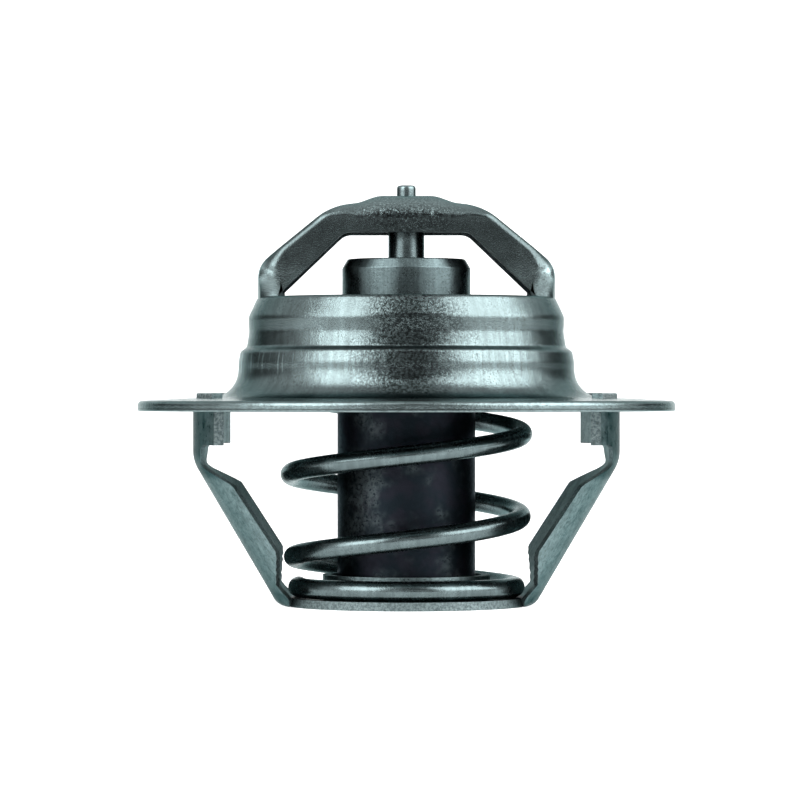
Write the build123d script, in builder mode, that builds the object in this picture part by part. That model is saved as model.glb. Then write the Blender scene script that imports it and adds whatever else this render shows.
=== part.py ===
from build123d import *
import os
from math import atan2, cos, radians, sin

os.makedirs("parts", exist_ok=True)

# Engine thermostat, built about its own axis. Z runs along the axis, the flange's underside
# is the plane Z = 0, and the bridge spans the dome along X. All sizes are in millimetres.

# Flange and dome
flange_radius = 25.0
sheet = 1.2  # drawn sheet of the dome and its flange
tightest_bend = 0.2  # on the hollow side of any bent sheet
rim_thickness = 0.95  # the rim is coined thinner than the sheet
rim_edge_break = 0.15
crown_radius = 14.75
skirt_step = 0.95  # the skirt is wider than the crown by this
shoulder_step = 0.9  # the shoulder leans in by this
skirt_top = 5.45
step_rise = 0.9
crown_rise = 2.6
shoulder_rise = 1.62
mouth_bend = 0.5
crown_bend = 1.0
step_bend = 0.4
flare_radius = 2.5
flare_reach = 4.5  # from the skirt to the start of the rim's taper
lip_width = 1.95  # from the shoulder's edge in to the mouth

# Bridge, one piece with the dome
bridge_width = 9.0
bridge_knee_rise = 2.81  # above the dome
bridge_slope_rise = 5.57
bridge_slope_run = 6.86
bridge_neck_rise = 0.33
bridge_neck_run = 2.55
saddle_rise = 0.67
saddle_slope_run = 1.78
bridge_depth = 2.5  # from the neck down to the bridge's lower edge
leg_width = 1.9
leg_root_depth = 0.67  # how far the legs run down into the dome's top
knee_bend = 2.5
neck_bend = 4.0
saddle_bend = 2.0
bridge_edge_bend = 1.15
underside_bend = 1.5

# Lower bracket, a drawn cup with two windows
bracket_sheet = 0.8
bracket_reach = 4.15  # from the dome's skirt out to the bracket's feet
bracket_knee_depth = 4.6
base_depth = 18.1
knee_round = 3.5
base_round = 1.4
foot_half_width = 9.2
foot_height = 3.1
foot_depth = 3.45  # how far the windows stay inside the bracket's radius at the feet
neck_depth = 1.25
neck_drop = 0.4  # of the necks' lower ends below the knee
wing_drop = 2.1  # of the wings' shoulders below the knee
wing_width = 2.92  # from the cone in to the wings' edge
waist_rise = 5.0  # of the wings' lower ends above the base
waist_step = 0.02  # of the wings' lower ends outside the base's radius
arm_root_step = 0.83  # of the arms' roots inside the base's radius
window_bend = 0.5
base_edge_step = 0.33  # inside the corner where the cone meets the base's underside
root_step = 1.2  # the arms grow out of the base this far inside its edge
collar_height = 2.9
collar_round = 1.3
collar_clearance = 0.58  # between the capsule and the collar around it

# Tabs of the bracket, staked on top of the flange
tab_start = 15.0  # degrees from the X axis
tab_end = 27.0
tab_head_height = 0.48
tab_head_spread = 0.15
slot_clearance = 0.06
slot_end_angle = 0.24

# Piston, held in the bridge by its staked tip
piston_radius = 1.675
piston_tip_radius = 0.88
piston_tip_height = 1.05
piston_tip_round = 0.3
piston_foot = -6.5
piston_hole_clearance = 0.02
running_clearance = 0.05

# Wax capsule with its guide collar
capsule_wall = 0.65
capsule_lift = 0.5  # of the capsule's foot above the bracket's base
capsule_round = 1.2
head_play = 0.4  # between the capsule's head and the hub around it
head_step = 1.78  # of the capsule's head out from its body
head_round = 0.5
guide_step = 0.45  # of the guide collar in from the capsule's body
guide_height = 5.52
guide_chamfer_width = 0.51
guide_chamfer_height = 0.87
guide_flange = 1.0
crimp_clearance = 0.28
fill_clearance = 0.05
boot_flange = 0.8
boot_wall = 1.5
boot_end_wall = 1.8
boot_end_gap = 0.1
washer_radius = 3.25
washer_thickness = 0.76

# Valve disc and its seal
disc_sheet = 0.8
disc_gap = 0.65  # around the disc, inside the crown
hub_drop = 1.17  # of the capsule's head seat below the disc's underside
disc_bend = 0.5
seal_rim = 0.1
seal_thickness = 1.2
seal_round = 0.3
seal_gap = 0.05  # between the seal and the dome's lip, with the valve closed

# Return spring, slightly narrower at its foot
wire_radius = 0.925
disc_ledge = 2.1  # from the wire's centre line out to the disc's edge
coil_taper = 0.72  # how much smaller the coil's radius is at its foot
base_ledge = 1.52  # from the wire's centre line out to the base's edge
hub_play = 0.475  # between the spring and the hub inside it
foot_coil_angle = 540.0  # degrees over which the lowest coils open out
spring_pitch = 7.67
pitch_ramp = 100.0  # degrees over which the pitch starts and stops
flat_angle_foot = 200.0  # degrees of flat wire at each end
flat_angle_top = 205.0
spring_gap = 0.03
coil_step = 20.0  # degrees between the points of the wire's centre line

# Levels and radii that follow from the sizes above
skirt_radius = crown_radius + skirt_step
shoulder_radius = crown_radius - shoulder_step
mouth_radius = shoulder_radius - lip_width
rim_taper_radius = skirt_radius + flare_reach
crown_bottom = skirt_top + step_rise
crown_top = crown_bottom + crown_rise
dome_top = crown_top + shoulder_rise
lip_underside = dome_top - sheet
seal_bottom = lip_underside - seal_gap - seal_thickness
disc_underside = seal_bottom - disc_sheet
leg_root = dome_top - leg_root_depth
leg_inside = shoulder_radius - leg_width
bridge_neck_half = shoulder_radius - bridge_slope_run
saddle_foot = bridge_neck_half - bridge_neck_run
saddle_half = saddle_foot - saddle_slope_run
bridge_knee_height = dome_top + bridge_knee_rise
bridge_neck_height = bridge_knee_height + bridge_slope_rise
bridge_underside = bridge_neck_height + bridge_neck_rise - bridge_depth
underside_half = leg_inside - (bridge_underside - dome_top)
saddle_height = bridge_neck_height + bridge_neck_rise + saddle_rise
saddle_underside = saddle_height - sheet
piston_top = saddle_height + piston_tip_height
disc_radius = crown_radius - sheet - disc_gap
coil_radius_top = disc_radius - disc_ledge
coil_radius_foot = coil_radius_top - coil_taper
disc_hub_radius = coil_radius_top - wire_radius - hub_play
head_radius = disc_hub_radius - disc_sheet - head_play
capsule_radius = head_radius - head_step
guide_radius = capsule_radius - guide_step
base_top = bracket_sheet - base_depth
base_edge_radius = coil_radius_foot + base_ledge
base_radius = base_edge_radius + base_edge_step
bracket_radius = skirt_radius + bracket_reach
root_reach = base_edge_radius - root_step
collar_top = collar_height - base_depth
collar_radius = capsule_radius + collar_clearance
neck_bottom = -bracket_knee_depth - neck_drop
wing_top = -bracket_knee_depth - wing_drop
waist_top = waist_rise - base_depth
cone_slope = (bracket_radius - base_radius) / (base_depth - bracket_knee_depth)
wing_reach = bracket_radius - cone_slope * wing_drop - wing_width
waist_reach = base_radius + waist_step
arm_root_reach = base_radius - arm_root_step
capsule_bottom = capsule_lift - base_depth
capsule_floor = capsule_bottom + capsule_wall
capsule_bore = capsule_radius - capsule_wall
head_bottom = disc_underside - hub_drop
head_floor = head_bottom + capsule_wall
head_bore = head_radius - capsule_wall
guide_bottom = head_floor + boot_flange
guide_shoulder = guide_bottom + guide_flange
guide_top = guide_shoulder + guide_height
head_top = guide_shoulder + capsule_wall
clamped_radius = head_bore - fill_clearance
guide_bore = piston_radius + running_clearance
boot_bore = guide_bore + fill_clearance
boot_radius = boot_bore + boot_wall
boot_floor = piston_foot - boot_end_gap
boot_bottom = boot_floor - boot_end_wall
hub_bottom = head_bottom - disc_sheet
seal_outer_radius = disc_radius - seal_rim
seal_inner_radius = disc_hub_radius + disc_sheet


def mirrored(points):
    """Return the points followed by their mirror images across the axis."""
    return points + [(-x, z) for x, z in reversed(points)]


def beside(points, distance):
    """Return the corners of the line that runs at a distance to the right of an open line."""
    steps = zip(points, points[1:])
    headings = [atan2(z1 - z0, x1 - x0) for (x0, z0), (x1, z1) in steps]
    corners = []
    for (x, z), before, after in zip(points, headings[:1] + headings, headings + headings[-1:]):
        middle = (before + after) / 2
        reach = distance / cos((after - before) / 2)
        corners.append((x + reach * sin(middle), z - reach * cos(middle)))
    return corners


def draw_section(*corners):
    """Draw a closed outline in the current sketch, from corners given as (x, z, rounding)."""
    points = [(x, z) for x, z, _ in corners]
    rounds = [rounding for _, _, rounding in corners]
    with BuildLine() as outline:
        FilletPolyline(*points, radius=rounds, close=True)
    make_face(outline.edges())


def draw_sheet(points, rounds, thickness):
    """Draw a bent sheet's section, which lies to the right of an open line of points."""
    inner_rounds = []
    for (x0, z0), (x1, z1), (x2, z2), rounding in zip(points, points[1:], points[2:], rounds):
        right_turn = (x1 - x0) * (z2 - z1) < (z1 - z0) * (x2 - x1)
        inner_round = rounding - thickness if right_turn else rounding + thickness
        inner_rounds.append(max(inner_round, tightest_bend))
    with BuildLine() as outline:
        outer = FilletPolyline(*points, radius=rounds)
        inner = FilletPolyline(*beside(points, thickness), radius=inner_rounds)
        Line(outer @ 0, inner @ 0)
        Line(outer @ 1, inner @ 1)
    make_face(outline.edges())


def draw_sectors(inner, outer, start, end):
    """Draw a ring sector and its mirror images across X and Y in the current sketch."""
    for first in (start, 180 - end, 180 + start, -end):
        with BuildLine() as outline:
            low = CenterArc((0, 0), inner, first, end - start)
            high = CenterArc((0, 0), outer, first, end - start)
            Line(low @ 0, high @ 0)
            Line(low @ 1, high @ 1)
        make_face(outline.edges())


def coil_height(angle, rise):
    """Return the wire's height above its flat foot, at an angle in degrees."""
    slope = spring_pitch / 360
    run = rise / slope + pitch_ramp
    started = min(max(angle, 0), pitch_ramp)
    stopped = min(max(angle - run + pitch_ramp, 0), pitch_ramp)
    straight = min(max(angle - pitch_ramp, 0), run - 2 * pitch_ramp)
    ending = stopped - stopped**2 / (2 * pitch_ramp)
    return slope * (started**2 / (2 * pitch_ramp) + straight + ending)


def coil_radius(angle):
    """Return the radius of the wire's centre line at an angle in degrees."""
    opened = min(max(angle, 0), foot_coil_angle) / foot_coil_angle
    return coil_radius_foot + (coil_radius_top - coil_radius_foot) * opened ** 0.5


# Flange, dome and bridge, one stamping
def bridge_outline(root):
    """Return the bridge's outer line, with its legs cut off at a height."""
    return mirrored(
        [
            (shoulder_radius, root),
            (shoulder_radius, bridge_knee_height),
            (bridge_neck_half, bridge_neck_height),
            (saddle_foot, bridge_neck_height + bridge_neck_rise),
            (saddle_half, saddle_height),
        ]
    )


bends = [0, knee_bend, neck_bend, saddle_bend, saddle_bend]
bridge_bends = bends + bends[::-1]

with BuildPart() as flange_housing:
    with BuildSketch(Plane.XZ):
        with BuildLine():
            FilletPolyline(*bridge_outline(leg_root), radius=bridge_bends, close=True)
        make_face()
    extrude(amount=bridge_width / 2, both=True)
    side_edges = flange_housing.faces().filter_by(Axis.Y).edges()
    fillet(side_edges.sort_by(Axis.Z)[2:], radius=bridge_edge_bend)

    # The hollow between the bridge's turned-down sides
    with BuildSketch(Plane.XZ):
        with BuildLine():
            FilletPolyline(*bridge_outline(leg_root - 2 * sheet), radius=bridge_bends, close=True)
        make_face()
        offset(amount=-sheet, kind=Kind.INTERSECTION)
    extrude(amount=bridge_width / 2 - sheet, both=True, mode=Mode.SUBTRACT)
    with BuildSketch(Plane.XZ):
        draw_section(
            (leg_inside, leg_root - sheet, 0),
            (leg_inside, dome_top, 0),
            (underside_half, bridge_underside, underside_bend),
            (-underside_half, bridge_underside, underside_bend),
            (-leg_inside, dome_top, 0),
            (-leg_inside, leg_root - sheet, 0),
        )
    extrude(amount=bridge_width, both=True, mode=Mode.SUBTRACT)

    # The dome and its flange
    dome_line = [
        (mouth_radius, dome_top),
        (shoulder_radius, dome_top),
        (crown_radius, crown_top),
        (crown_radius, crown_bottom),
        (skirt_radius, skirt_top),
        (skirt_radius, sheet),
        (rim_taper_radius, sheet),
    ]
    with BuildSketch(Plane.XZ):
        draw_sheet(dome_line, [mouth_bend, crown_bend, step_bend, step_bend, flare_radius], sheet)
        draw_section(
            (rim_taper_radius, 0, 0),
            (rim_taper_radius, sheet, 0),
            (flange_radius, rim_thickness, rim_edge_break),
            (flange_radius, 0, 0),
        )
    revolve(axis=Axis.Z)

    # The hole for the piston's tip, and the slots for the bracket's tabs
    with BuildSketch(Plane.XY.offset(saddle_underside - sheet)):
        Circle(piston_tip_radius + piston_hole_clearance)
    extrude(amount=3 * sheet, mode=Mode.SUBTRACT)
    with BuildSketch(Plane.XY.offset(-sheet)):
        draw_sectors(
            bracket_radius - bracket_sheet - slot_clearance,
            bracket_radius + slot_clearance,
            tab_start - slot_end_angle,
            tab_end + slot_end_angle,
        )
    extrude(amount=3 * sheet, mode=Mode.SUBTRACT)
flange_housing.part.label = "flange_housing"
export_step(flange_housing.part, "parts/flange_housing.step")

# Lower bracket, a drawn cup whose two windows leave two arms
with BuildPart() as lower_bracket:
    bracket_line = [
        (collar_radius, collar_top),
        (collar_radius, -base_depth),
        (base_radius, -base_depth),
        (bracket_radius, -bracket_knee_depth),
        (bracket_radius, 0),
    ]
    with BuildSketch(Plane.XZ):
        draw_sheet(bracket_line, [collar_round, base_round, knee_round], -bracket_sheet)
    revolve(axis=Axis.Z)

    # The windows, punched from front to back
    with BuildSketch(Plane.XZ):
        window = [
            (bracket_radius - foot_depth, sheet, 0),
            (bracket_radius - foot_depth, -foot_height, window_bend),
            (bracket_radius - neck_depth, -foot_height, window_bend),
            (bracket_radius - neck_depth, neck_bottom, window_bend),
            (wing_reach, wing_top, window_bend),
            (waist_reach, waist_top, window_bend),
            (arm_root_reach, base_top, 0),
        ]
        draw_section(*window, *[(-x, z, rounding) for x, z, rounding in reversed(window)])
    extrude(amount=2 * bracket_radius, both=True, mode=Mode.SUBTRACT)

    # The feet's square ends
    with BuildSketch(Plane.XY.offset(-foot_height)):
        with Locations((0, foot_half_width + bracket_radius), (0, -foot_half_width - bracket_radius)):
            Rectangle(3 * bracket_radius, 2 * bracket_radius)
    extrude(amount=foot_height + sheet, mode=Mode.SUBTRACT)

    # The base's sheared edge between the arms
    with BuildSketch(Plane.XY.offset(-base_depth - bracket_sheet)):
        Rectangle(2 * root_reach, 3 * bracket_radius)
        Circle(base_edge_radius, mode=Mode.SUBTRACT)
    extrude(amount=2 * bracket_sheet, mode=Mode.SUBTRACT)

    # The tabs and their staked heads
    with BuildSketch(Plane.XY):
        draw_sectors(bracket_radius - bracket_sheet, bracket_radius, tab_start, tab_end)
    extrude(amount=sheet)
    with BuildSketch(Plane.XY.offset(sheet)):
        draw_sectors(
            bracket_radius - bracket_sheet - tab_head_spread,
            bracket_radius + tab_head_spread,
            tab_start - slot_end_angle,
            tab_end + slot_end_angle,
        )
    extrude(amount=tab_head_height)
lower_bracket.part.label = "lower_bracket"
export_step(lower_bracket.part, "parts/lower_bracket.step")

# Piston, with a shoulder under the bridge and a staked tip through it
with BuildPart() as piston:
    with BuildSketch(Plane.XZ):
        draw_section(
            (0, piston_foot, 0),
            (piston_radius, piston_foot, piston_tip_round),
            (piston_radius, saddle_underside, 0),
            (piston_tip_radius, saddle_underside, 0),
            (piston_tip_radius, piston_top, piston_tip_round),
            (0, piston_top, 0),
        )
    revolve(axis=Axis.Z)
piston.part.label = "piston"
export_step(piston.part, "parts/piston.step")

# Guide collar, clamped in the capsule's head, with the piston running in its bore
with BuildPart() as guide_collar:
    washer_seat_radius = washer_radius + fill_clearance
    washer_seat_top = guide_bottom + washer_thickness + fill_clearance
    with BuildSketch(Plane.XZ):
        draw_section(
            (guide_bore, washer_seat_top, 0),
            (washer_seat_radius, washer_seat_top, 0),
            (washer_seat_radius, guide_bottom, 0),
            (clamped_radius, guide_bottom, 0),
            (clamped_radius, guide_shoulder, 0),
            (guide_radius, guide_shoulder, 0),
            (guide_radius, guide_top - guide_chamfer_height, 0),
            (guide_radius - guide_chamfer_width, guide_top, 0),
            (guide_bore, guide_top, 0),
        )
    revolve(axis=Axis.Z)
guide_collar.part.label = "guide_collar"
export_step(guide_collar.part, "parts/guide_collar.step")

# Backing washer, which keeps the boot's rubber out of the guide's bore
with BuildPart() as backing_washer:
    with BuildSketch(Plane.XY.offset(guide_bottom)):
        Circle(washer_radius)
        Circle(boot_bore, mode=Mode.SUBTRACT)
    extrude(amount=washer_thickness)
backing_washer.part.label = "backing_washer"
export_step(backing_washer.part, "parts/backing_washer.step")

# Rubber boot around the piston, which the wax squeezes
with BuildPart() as rubber_boot:
    with BuildSketch(Plane.XZ):
        draw_section(
            (0, boot_bottom, 0),
            (boot_radius, boot_bottom, boot_wall / 2),
            (boot_radius, head_floor, 0),
            (clamped_radius, head_floor, 0),
            (clamped_radius, guide_bottom, 0),
            (boot_bore, guide_bottom, 0),
            (boot_bore, boot_floor, 0),
            (0, boot_floor, 0),
        )
    revolve(axis=Axis.Z)
rubber_boot.part.label = "rubber_boot"
export_step(rubber_boot.part, "parts/rubber_boot.step")

# Wax charge between the boot and the capsule's wall
with BuildPart() as wax_charge:
    wax_radius = capsule_bore - fill_clearance
    wax_bore = boot_radius + fill_clearance
    wax_foot = capsule_floor + fill_clearance
    wax_top = head_floor - fill_clearance
    with BuildSketch(Plane.XZ):
        draw_section(
            (0, wax_foot, 0),
            (wax_radius, wax_foot, capsule_round / 2),
            (wax_radius, wax_top, 0),
            (wax_bore, wax_top, 0),
            (wax_bore, boot_bottom - fill_clearance, 0),
            (0, boot_bottom - fill_clearance, 0),
        )
    revolve(axis=Axis.Z)
wax_charge.part.label = "wax_charge"
export_step(wax_charge.part, "parts/wax_charge.step")

# Capsule cup, with its head crimped over the guide's flange
with BuildPart() as capsule_cup:
    with BuildSketch(Plane.XZ):
        draw_section(
            (0, capsule_bottom, 0),
            (capsule_radius, capsule_bottom, capsule_round),
            (capsule_radius, head_bottom, 0),
            (head_radius, head_bottom, head_round),
            (head_radius, head_top, head_round),
            (guide_radius + crimp_clearance, head_top, 0),
            (guide_radius + crimp_clearance, guide_shoulder, 0),
            (head_bore, guide_shoulder, 0),
            (head_bore, head_floor, 0),
            (capsule_bore, head_floor, 0),
            (capsule_bore, capsule_floor, capsule_round / 2),
            (0, capsule_floor, 0),
        )
    revolve(axis=Axis.Z)
capsule_cup.part.label = "capsule_cup"
export_step(capsule_cup.part, "parts/capsule_cup.step")

# Valve disc, pushed up against the capsule's head by the spring
with BuildPart() as valve_disc:
    disc_bore = capsule_radius + running_clearance
    with BuildSketch(Plane.XZ):
        draw_section(
            (disc_bore, hub_bottom, 0),
            (disc_hub_radius, hub_bottom, disc_bend + disc_sheet / 2),
            (disc_hub_radius, disc_underside, 0),
            (disc_radius, disc_underside, 0),
            (disc_radius, seal_bottom, 0),
            (disc_hub_radius - disc_sheet, seal_bottom, disc_bend),
            (disc_hub_radius - disc_sheet, head_bottom, 0),
            (disc_bore, head_bottom, 0),
        )
    revolve(axis=Axis.Z)
valve_disc.part.label = "valve_disc"
export_step(valve_disc.part, "parts/valve_disc.step")

# Valve seal, a rubber ring bonded on the disc's rim
with BuildPart() as valve_seal:
    with BuildSketch(Plane.XZ):
        draw_section(
            (seal_inner_radius, seal_bottom, 0),
            (seal_outer_radius, seal_bottom, 0),
            (seal_outer_radius, seal_bottom + seal_thickness, seal_round),
            (seal_inner_radius, seal_bottom + seal_thickness, seal_round),
        )
    revolve(axis=Axis.Z)
valve_seal.part.label = "valve_seal"
export_step(valve_seal.part, "parts/valve_seal.step")

# Main spring, from the bracket's base to the underside of the valve disc
with BuildPart() as main_spring:
    foot_height_of_wire = base_top + spring_gap + wire_radius
    coil_rise = disc_underside - spring_gap - wire_radius - foot_height_of_wire
    active_angle = coil_rise / spring_pitch * 360 + pitch_ramp
    coil_angle = flat_angle_foot + active_angle + flat_angle_top
    steps = round(coil_angle / coil_step)
    centre_line = []
    for step in range(steps + 1):
        turned = coil_angle * step / steps - flat_angle_foot
        reach = coil_radius(turned)
        height = foot_height_of_wire + coil_height(turned, coil_rise)
        centre_line.append((reach * cos(radians(turned)), reach * sin(radians(turned)), height))
    with BuildLine() as coil:
        Spline(*centre_line)
    with BuildSketch(Plane(origin=coil.line @ 0, z_dir=coil.line % 0)):
        Circle(wire_radius)
    sweep()
main_spring.part.label = "main_spring"
export_step(main_spring.part, "parts/main_spring.step")
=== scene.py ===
"""Engine thermostat: a drawn flange and bridge, a wax capsule, a valve, a spring, a bracket."""

import logging
from dataclasses import dataclass
from enum import Enum
from typing import Sequence

import bmesh
import bpy
import numpy as np
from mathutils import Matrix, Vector


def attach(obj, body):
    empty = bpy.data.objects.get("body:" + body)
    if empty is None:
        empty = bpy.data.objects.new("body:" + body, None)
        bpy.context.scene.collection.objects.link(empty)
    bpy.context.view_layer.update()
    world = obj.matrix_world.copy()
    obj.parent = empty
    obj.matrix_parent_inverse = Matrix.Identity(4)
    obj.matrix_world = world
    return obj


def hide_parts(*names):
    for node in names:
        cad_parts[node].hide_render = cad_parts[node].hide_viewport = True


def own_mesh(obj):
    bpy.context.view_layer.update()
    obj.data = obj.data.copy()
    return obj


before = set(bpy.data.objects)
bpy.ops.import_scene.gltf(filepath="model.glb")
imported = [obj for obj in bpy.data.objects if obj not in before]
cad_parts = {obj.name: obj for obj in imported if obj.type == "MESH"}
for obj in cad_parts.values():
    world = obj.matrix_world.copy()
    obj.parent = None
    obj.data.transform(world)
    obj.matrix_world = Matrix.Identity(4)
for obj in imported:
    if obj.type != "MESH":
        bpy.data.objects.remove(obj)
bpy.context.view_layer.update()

LOG = logging.getLogger("thermostat")
MM = 0.001
ROUND_STEPS = 256
LEAST_BEND = 1e-4
MELT_M = 2e-7
THIN_M = 1e-7
SHARP_DEGREES = 32

Socket = bpy.types.NodeSocket
Colour = tuple[float, float, float, float]
Span = tuple[float, float]
Corners = tuple[tuple[float, ...], ...]


class Body(Enum):
    """The two rigid bodies of the valve."""

    HOUSING = "housing"
    VALVE = "valve"


@dataclass(frozen=True)
class Sheet:
    """A grid of surface points in millimetres, of shape (rows, columns, 3).

    The flags say whether the last row meets the first, and the last column the first. The
    finish is the number of the finish, among the piece's own, that the sheet takes.
    """

    points: np.ndarray
    rows_meet: bool = False
    columns_meet: bool = False
    finish: int = 0

    def faces(self, first: int) -> np.ndarray:
        """Number the grid's quads.

        Quad (i, j) has the corners (i, j), (i, j + 1), (i + 1, j + 1) and (i + 1, j).

        Args:
            first: the number of the grid's first vertex in its mesh.

        Returns:
            One row of four vertex numbers for each quad.
        """
        rows, columns = self.points.shape[:2]
        number = first + np.arange(rows * columns).reshape(rows, columns)
        if self.rows_meet:
            number = np.vstack([number, number[:1]])
        if self.columns_meet:
            number = np.hstack([number, number[:, :1]])
        corners = (number[:-1, :-1], number[:-1, 1:], number[1:, 1:], number[1:, :-1])
        return np.stack([corner.ravel() for corner in corners], axis=1)


def units(vectors: np.ndarray) -> np.ndarray:
    """Return vectors with the same directions and a length of one."""
    return vectors / np.linalg.norm(vectors, axis=1)[:, None]


def lengths_along(line: np.ndarray) -> np.ndarray:
    """Return how far along a line each of its points lies."""
    return np.concatenate([[0], np.cumsum(np.linalg.norm(np.diff(line, axis=0), axis=1))])


def mirrored(half: Corners) -> np.ndarray:
    """Return a line of (x, z) corners followed by its mirror image in x."""
    corners = np.array(half)
    return np.vstack([corners, corners[::-1] * (-1, 1)])


def rounded_line(
    corners: np.ndarray,
    bends: Sequence[float],
    closed: bool = False,
    arc_points: int = 10,
    run_points: int = 6,
) -> np.ndarray:
    """Round the corners of a line and sample it.

    Each corner becomes an arc that touches both its runs: its centre lies on the bisector, at
    the bend's radius over the cosine of half the turn, and the arc sweeps the turn evenly.

    Args:
        corners: points (a, b) of the line, in millimetres.
        bends: one bend radius for each inner corner, or for every corner of a closed line.
        closed: whether the last corner runs back to the first.
        arc_points: samples on each arc.
        run_points: samples inside each straight run.

    Returns:
        The sampled points, in order.
    """
    corners = np.asarray(corners, float)
    if closed:
        before, here, after = np.roll(corners, 1, 0), corners, np.roll(corners, -1, 0)
    else:
        before, here, after = corners[:-2], corners[1:-1], corners[2:]
    into, out = units(here - before), units(after - here)
    turn = np.arctan2(into[:, 0] * out[:, 1] - into[:, 1] * out[:, 0], (into * out).sum(1))
    bend = np.asarray(bends, float)[:, None]
    start = here - into * bend * np.tan(np.abs(turn) / 2)[:, None]
    normal = np.stack([-into[:, 1], into[:, 0]], axis=1) * np.sign(turn)[:, None]
    swept = turn[:, None] * np.linspace(0, 1, arc_points)[None, :]
    along = np.sin(np.abs(swept))[..., None] * into[:, None, :]
    across = (1 - np.cos(swept))[..., None] * normal[:, None, :]
    arcs = start[:, None, :] + bend[:, None, :] * (along + across)
    starts, ends = arcs[:, 0], arcs[:, -1]
    if closed:
        runs = blend_rows(ends, np.roll(starts, -1, 0), run_points)
        return np.concatenate([arcs, runs], axis=1).reshape(-1, 2)
    starts = np.vstack([starts, corners[-1:]])
    ends = np.vstack([corners[:1], ends])
    runs = blend_rows(ends, starts, run_points)
    body = np.concatenate([runs[:-1], arcs], axis=1).reshape(-1, 2)
    return np.vstack([corners[:1], body, runs[-1], corners[-1:]])


def blend_rows(first: np.ndarray, last: np.ndarray, count: int) -> np.ndarray:
    """Return count evenly spaced points strictly between each pair of points."""
    share = (np.arange(count) + 1) / (count + 1)
    return first[:, None, :] + share[None, :, None] * (last - first)[:, None, :]


def beside(corners: np.ndarray, distance: float) -> np.ndarray:
    """Move a line's corners to the right, to the line that runs beside it.

    A corner moves along the bisector of its two runs, by the distance over the cosine of half
    the turn there.

    Args:
        corners: points (a, b) of an open line.
        distance: how far beside it the new line runs.

    Returns:
        The new line's corners.
    """
    corners = np.asarray(corners, float)
    steps = np.diff(corners, axis=0)
    heading = np.arctan2(steps[:, 1], steps[:, 0])
    before = np.concatenate([heading[:1], heading])
    after = np.concatenate([heading, heading[-1:]])
    middle = (before + after) / 2
    reach = distance / np.cos((after - before) / 2)
    return corners + np.stack([reach * np.sin(middle), -reach * np.cos(middle)], axis=1)


def inner_bends(corners: np.ndarray, bends: Sequence[float], distance: float) -> np.ndarray:
    """Return the bend radii of the line beside a line.

    A bend shrinks by the distance where the line turns right, and grows by it elsewhere.

    Args:
        corners: points (a, b) of the line.
        bends: its bend radii, one for each inner corner.
        distance: how far beside it the new line runs.

    Returns:
        The new radii, none below the least.
    """
    least = 0.2
    steps = np.diff(np.asarray(corners, float), axis=0)
    turn = steps[:-1, 0] * steps[1:, 1] - steps[:-1, 1] * steps[1:, 0]
    changed = np.asarray(bends, float) + np.where(turn < 0, -distance, distance)
    return np.maximum(changed, least)


def polar(radius: np.ndarray, angle: np.ndarray, height: np.ndarray) -> np.ndarray:
    """Return the points (x, y, z) at each radius, angle and height, which share one shape."""
    parts = np.broadcast_arrays(radius * np.cos(angle), radius * np.sin(angle), height)
    return np.stack(parts, axis=-1)


def revolve(
    line: np.ndarray, steps: int = ROUND_STEPS, closed: bool = True, finish: int = 0
) -> Sheet:
    """Carry a line of (radius, height) round the Z axis.

    Point (i, j) is (radius_i cos angle_j, radius_i sin angle_j, height_i), with the angle going
    once round in even steps.

    Args:
        line: the line's points.
        steps: the number of points round the axis.
        closed: whether the line's last point meets its first.
        finish: the number of the sheet's finish.

    Returns:
        The surface.
    """
    angle = np.linspace(0, 2 * np.pi, steps, endpoint=False)
    points = polar(line[:, 0][:, None], angle, line[:, 1][:, None])
    return Sheet(points, rows_meet=closed, columns_meet=True, finish=finish)


def strip(first: np.ndarray, second: np.ndarray, finish: int = 0) -> Sheet:
    """Join two equal rows of points with one band of faces."""
    return Sheet(np.stack([first, second]), finish=finish)


def fan(row: np.ndarray) -> Sheet:
    """Close a ring of points with faces to its middle."""
    middle = np.broadcast_to(row.mean(0), row.shape)
    return Sheet(np.stack([row, middle]), columns_meet=True)


def linked(name: str, data: bpy.types.ID) -> bpy.types.Object:
    """Add an object to the scene.

    Args:
        name: its name.
        data: its mesh, lamp or camera.

    Returns:
        The new object.
    """
    thing = bpy.data.objects.new(name, data)
    bpy.context.scene.collection.objects.link(thing)
    return thing


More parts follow.
